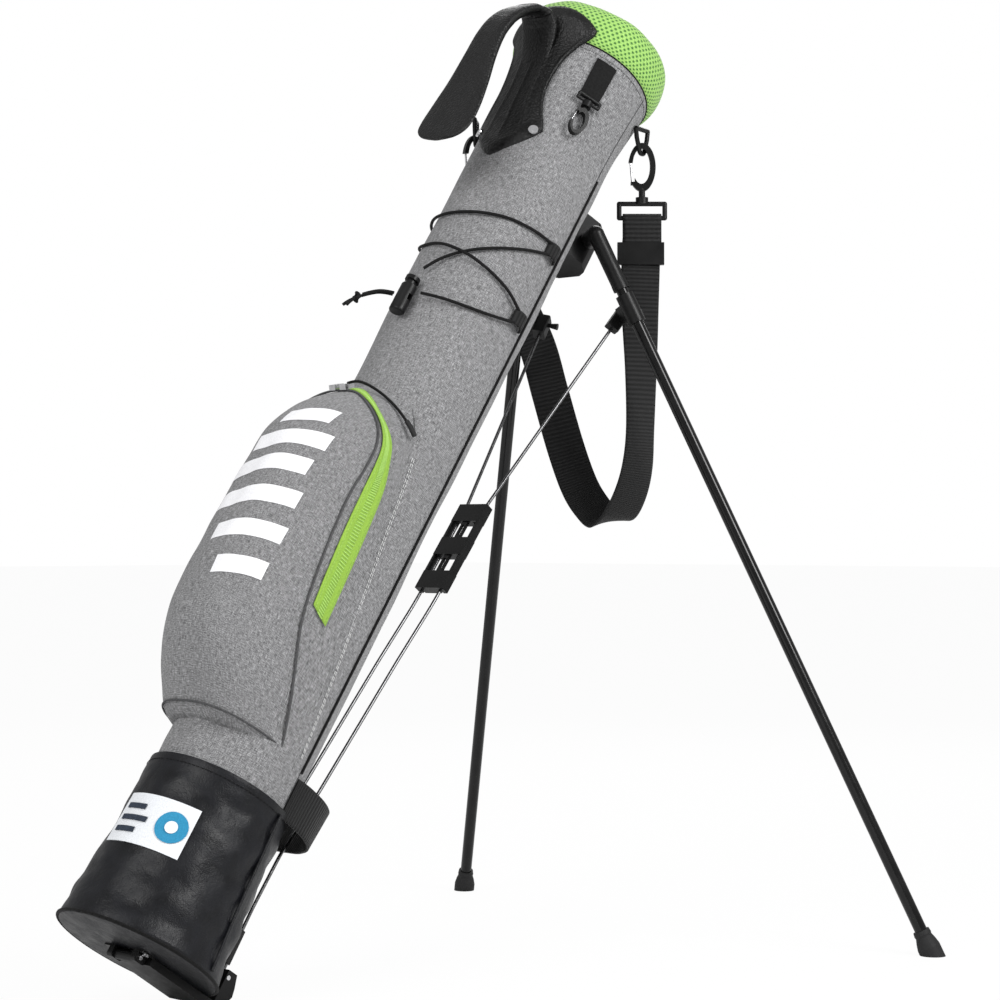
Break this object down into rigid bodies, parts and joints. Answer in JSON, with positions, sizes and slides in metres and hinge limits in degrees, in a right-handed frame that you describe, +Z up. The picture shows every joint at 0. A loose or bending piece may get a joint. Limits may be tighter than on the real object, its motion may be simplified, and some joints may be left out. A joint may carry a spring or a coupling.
{
  "type": "golf stand bag",
  "caption": "Slim golf carry bag that leans on two folding legs and a toe lever, with a zipped front pocket, carry handle, shoulder strap and laced elastic cord.",
  "frame": {"origin": "middle of the toe lever's ground face, on the ground", "axes": "+Z up, +Y from the toe lever towards the legs along the ground, +X to the bag's right leg"},
  "size_m": [0.6496, 0.7629, 0.9168],
  "materials": {
    "fabric_grey": "woven melange",
    "fabric_black": "woven",
    "webbing_black": "ribbed webbing",
    "mesh_lime": "open mesh",
    "leather_black": "soft sheen",
    "plastic_black": "satin",
    "grip_black": "pebbled",
    "tube_black": "gloss",
    "steel": "satin",
    "rubber_black": "matte",
    "cord_black": "braided",
    "label_white": "satin",
    "zip_lime": "woven tape"
  },
  "bodies": {
    "bag": {"front_panel": "fabric_grey", "back_panel": "fabric_black", "piping": "cord_black", "mouth_ring": "plastic_black", "mouth_collar": "mesh_lime", "mouth_divider": "fabric_black", "boot_front": "leather_black", "boot_back": "leather_black", "bottom_panel": "leather_black", "base_plate": "plastic_black", "hinge_ears": "plastic_black", "lever_axle": "steel", "screws": "steel", "pivot_pins": "steel", "leg_housing": "plastic_black", "rod_keeper": "webbing_black", "pocket": "fabric_grey", "zip_tape": "zip_lime", "label_patch": "label_white", "handle_plate": "grip_black", "handle_grip": "grip_black", "handle_rivets": "steel", "cord_tabs": "webbing_black", "bungee_cord": "cord_black", "bungee_tail": "cord_black", "cord_lock": "plastic_black", "ring_right": "plastic_black", "ring_left": "plastic_black", "hook_right": "plastic_black", "hook_left": "plastic_black", "swivel_frame_right": "plastic_black", "swivel_frame_left": "plastic_black", "shoulder_strap": "webbing_black", "strap_slider": "plastic_black", "accessory_tab": "webbing_black", "accessory_frame": "plastic_black"},
    "toe_lever": {"toe_lever": "plastic_black", "rod_pin": "steel"},
    "rods": {"lower_rods": "steel", "rod_sleeves": "rubber_black", "spacer_clip": "plastic_black"},
    "leg_right": {"elbow_right": "plastic_black", "leg_tube_right": "tube_black", "leg_bracket_right": "plastic_black", "foot_tip_right": "rubber_black"},
    "leg_left": {"elbow_left": "plastic_black", "leg_tube_left": "tube_black", "leg_bracket_left": "plastic_black", "foot_tip_left": "rubber_black"},
    "rod_right": {"upper_rod_right": "steel", "rod_swivel_right": "plastic_black"},
    "rod_left": {"upper_rod_left": "steel", "rod_swivel_left": "plastic_black"},
    "zip_pull_right": {"zip_slider_right": "steel"},
    "zip_pull_left": {"zip_slider_left": "steel"},
    "gate_right": {"gate_right": "steel"},
    "gate_left": {"gate_left": "steel"},
    "lock_button": {"lock_button": "plastic_black"},
    "accessory_hook": {"accessory_hook": "plastic_black"},
    "accessory_gate": {"accessory_gate": "steel"}
  },
  "joints": [
    {"name": "leg_right_fold", "type": "hinge", "parent": "bag", "child": "leg_right", "pos_m": [0.0474, 0.44177, 0.68636], "axis": [-0.8948, 0.3688, -0.2517], "range_deg": [0, 50.2]},
    {"name": "leg_left_fold", "type": "hinge", "parent": "bag", "child": "leg_left", "pos_m": [-0.0474, 0.44177, 0.68636], "axis": [-0.8948, -0.3688, 0.2517], "range_deg": [0, 50.2]},
    {"name": "rod_right_swing", "type": "hinge", "parent": "leg_right", "child": "rod_right", "pos_m": [0.05064, 0.47083, 0.60621], "axis": [0.8721, -0.4549, 0.1805], "range_deg": [0, 56.55]},
    {"name": "rod_left_swing", "type": "hinge", "parent": "leg_left", "child": "rod_left", "pos_m": [-0.05064, 0.47083, 0.60621], "axis": [0.8721, 0.4549, -0.1805], "range_deg": [0, 56.55]},
    {"name": "toe_lever_drop", "type": "hinge", "parent": "bag", "child": "toe_lever", "pos_m": [0, -0.08212, 0.0463], "axis": [-1, 0, 0], "range_deg": [0, 21.81]},
    {"name": "lower_rods_tilt", "type": "hinge", "parent": "toe_lever", "child": "rods", "pos_m": [0, 0.00635, 0.01981], "axis": [1, 0, 0], "range_deg": [0, 26.6]},
    {"name": "zip_right_slide", "type": "slide", "parent": "bag", "child": "zip_pull_right", "axis": [1, 0, 0], "range_m": [0, 0.012]},
    {"name": "zip_left_slide", "type": "slide", "parent": "bag", "child": "zip_pull_left", "axis": [-1, 0, 0], "range_m": [0, 0.012]},
    {"name": "gate_right_open", "type": "hinge", "parent": "bag", "child": "gate_right", "pos_m": [0.04552, 0.49662, 0.7431], "axis": [-0.7022, 0.712, 0], "range_deg": [0, 24], "stiffness_Nm_per_rad": 0.02},
    {"name": "gate_left_open", "type": "hinge", "parent": "bag", "child": "gate_left", "pos_m": [-0.07935, 0.39079, 0.7541], "axis": [-0.9397, 0.342, 0], "range_deg": [0, 24], "stiffness_Nm_per_rad": 0.02},
    {"name": "lock_button_press", "type": "slide", "parent": "bag", "child": "lock_button", "axis": [0, -0.5638, -0.8259], "range_m": [0, 0.004], "stiffness_N_per_m": 400},
    {"name": "accessory_hook_turn", "type": "hinge", "parent": "bag", "child": "accessory_hook", "pos_m": [0.06468, 0.3981, 0.78906], "axis": [0, -0.5638, -0.8259], "range_deg": [-10, 10]},
    {"name": "accessory_gate_open", "type": "hinge", "parent": "accessory_hook", "child": "accessory_gate", "pos_m": [0.06212, 0.39862, 0.79959], "axis": [0.9063, -0.349, 0.2383], "range_deg": [0, 24], "stiffness_Nm_per_rad": 0.01}
  ],
  "couplings": [
    {"joint": "leg_left_fold", "follows": "leg_right_fold", "ratio": 1},
    {"joint": "rod_right_swing", "follows": "leg_right_fold", "ratio": 1.1261},
    {"joint": "rod_left_swing", "follows": "leg_right_fold", "ratio": 1.1261},
    {"joint": "toe_lever_drop", "follows": "leg_right_fold", "ratio": 0.43411},
    {"joint": "lower_rods_tilt", "follows": "leg_right_fold", "ratio": 0.52942}
  ]
}
